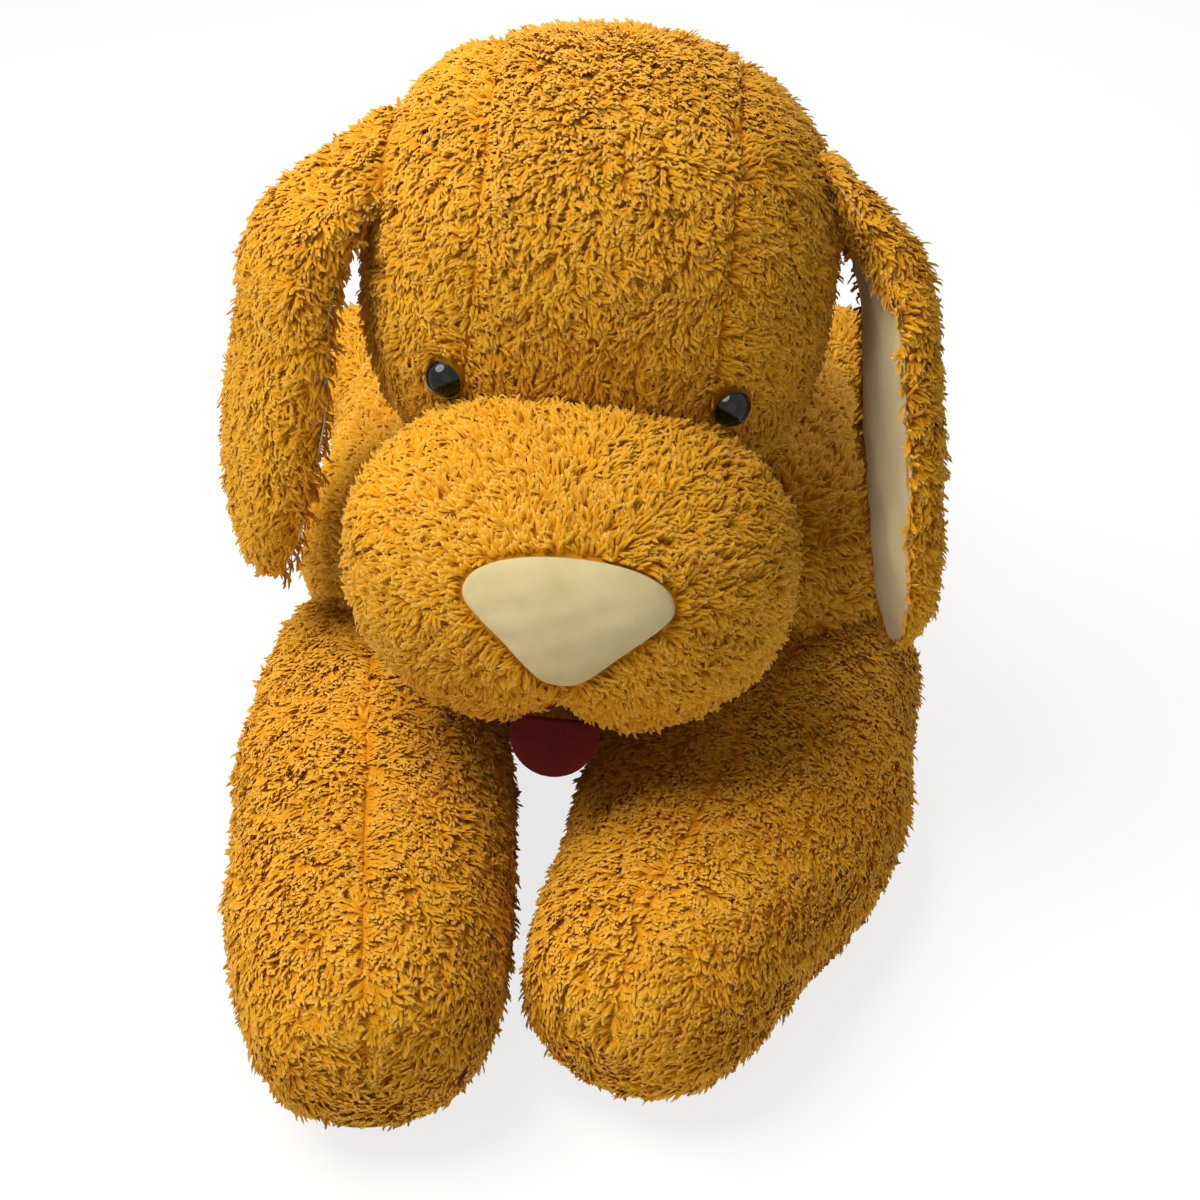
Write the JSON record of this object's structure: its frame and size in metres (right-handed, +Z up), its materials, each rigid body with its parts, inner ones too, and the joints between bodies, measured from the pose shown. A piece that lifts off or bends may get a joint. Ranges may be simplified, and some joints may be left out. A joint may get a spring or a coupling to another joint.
{
  "type": "plush dog",
  "caption": "Large golden-tan curly plush dog lying on its belly with forelegs stretched forward, floppy lined ears, cream nose, black safety eyes and a red felt tongue.",
  "frame": {"origin": "on the floor, at the middle of the flat underside of the belly", "axes": "+Z up, the dog looks along -Y, +X is the dog's left side"},
  "size_m": [0.4488, 0.8144, 0.4312],
  "materials": {
    "plush": "matte",
    "velour": "matte",
    "felt": "matte",
    "eye": "gloss",
    "washer": "matte",
    "stuffing": "matte"
  },
  "bodies": {
    "torso": {"torso_back_panel": "plush", "torso_belly_panel": "plush", "torso_stuffing": "stuffing"},
    "neck": {"neck_stuffing": "stuffing"},
    "head": {"head_crown_panel": "plush", "head_side_panel_left": "plush", "head_side_panel_right": "plush", "head_stuffing": "stuffing", "muzzle_top_panel": "plush", "muzzle_lip_panel_left": "plush", "muzzle_lip_panel_right": "plush", "muzzle_stuffing": "stuffing", "nose_patch": "velour", "eye_left": "eye", "eye_right": "eye", "eye_washer_left": "washer", "eye_washer_right": "washer"},
    "tongue": {"tongue": "felt"},
    "ear_left": {"ear_plush_left": "plush", "ear_lining_left": "velour"},
    "ear_right": {"ear_plush_right": "plush", "ear_lining_right": "velour"},
    "foreleg_left": {"foreleg_outer_panel_left": "plush", "foreleg_inner_panel_left": "plush", "foreleg_stuffing_left": "stuffing", "front_paw_sole_left": "velour"},
    "foreleg_right": {"foreleg_outer_panel_right": "plush", "foreleg_inner_panel_right": "plush", "foreleg_stuffing_right": "stuffing", "front_paw_sole_right": "velour"},
    "hindleg_left": {"hindleg_outer_panel_left": "plush", "hindleg_inner_panel_left": "plush", "hindleg_stuffing_left": "stuffing", "hind_paw_sole_left": "velour"},
    "hindleg_right": {"hindleg_outer_panel_right": "plush", "hindleg_inner_panel_right": "plush", "hindleg_stuffing_right": "stuffing", "hind_paw_sole_right": "velour"},
    "tail": {"tail_cover": "plush", "tail_stuffing": "stuffing"}
  },
  "joints": [
    {"name": "head_turn", "type": "hinge", "parent": "torso", "child": "neck", "pos_m": [0, -0.106, 0.199], "axis": [0, 0, 1], "range_deg": [-12, 12], "stiffness_Nm_per_rad": 1.5},
    {"name": "head_lift", "type": "hinge", "parent": "neck", "child": "head", "pos_m": [0, -0.106, 0.199], "axis": [-1, 0, 0], "range_deg": [0, 12]},
    {"name": "ear_lift_left", "type": "hinge", "parent": "head", "child": "ear_left", "pos_m": [0.10516, -0.12408, 0.37946], "axis": [0.0782, -0.9074, 0.413], "range_deg": [0, 60]},
    {"name": "ear_lift_right", "type": "hinge", "parent": "head", "child": "ear_right", "pos_m": [-0.08982, -0.11727, 0.39825], "axis": [-0.4422, 0.8968, -0.0163], "range_deg": [0, 60]},
    {"name": "tongue_flap", "type": "hinge", "parent": "head", "child": "tongue", "pos_m": [-0.02172, -0.32154, 0.15659], "axis": [-0.9948, 0.0347, 0.0958], "range_deg": [-10, 25], "stiffness_Nm_per_rad": 0.02},
    {"name": "foreleg_swing_left", "type": "hinge", "parent": "torso", "child": "foreleg_left", "pos_m": [0.132, -0.13, 0.06], "axis": [0, 0, 1], "range_deg": [0, 25]},
    {"name": "foreleg_swing_right", "type": "hinge", "parent": "torso", "child": "foreleg_right", "pos_m": [-0.132, -0.13, 0.06], "axis": [0, 0, -1], "range_deg": [0, 25]},
    {"name": "hindleg_swing_left", "type": "hinge", "parent": "torso", "child": "hindleg_left", "pos_m": [0.1, 0.108, 0.055], "axis": [0, 0, -1], "range_deg": [0, 25]},
    {"name": "hindleg_swing_right", "type": "hinge", "parent": "torso", "child": "hindleg_right", "pos_m": [-0.1, 0.108, 0.055], "axis": [0, 0, 1], "range_deg": [0, 25]},
    {"name": "tail_wag", "type": "hinge", "parent": "torso", "child": "tail", "pos_m": [0, 0.176, 0.06], "axis": [0, 0, 1], "range_deg": [-30, 30], "stiffness_Nm_per_rad": 0.3}
  ]
}
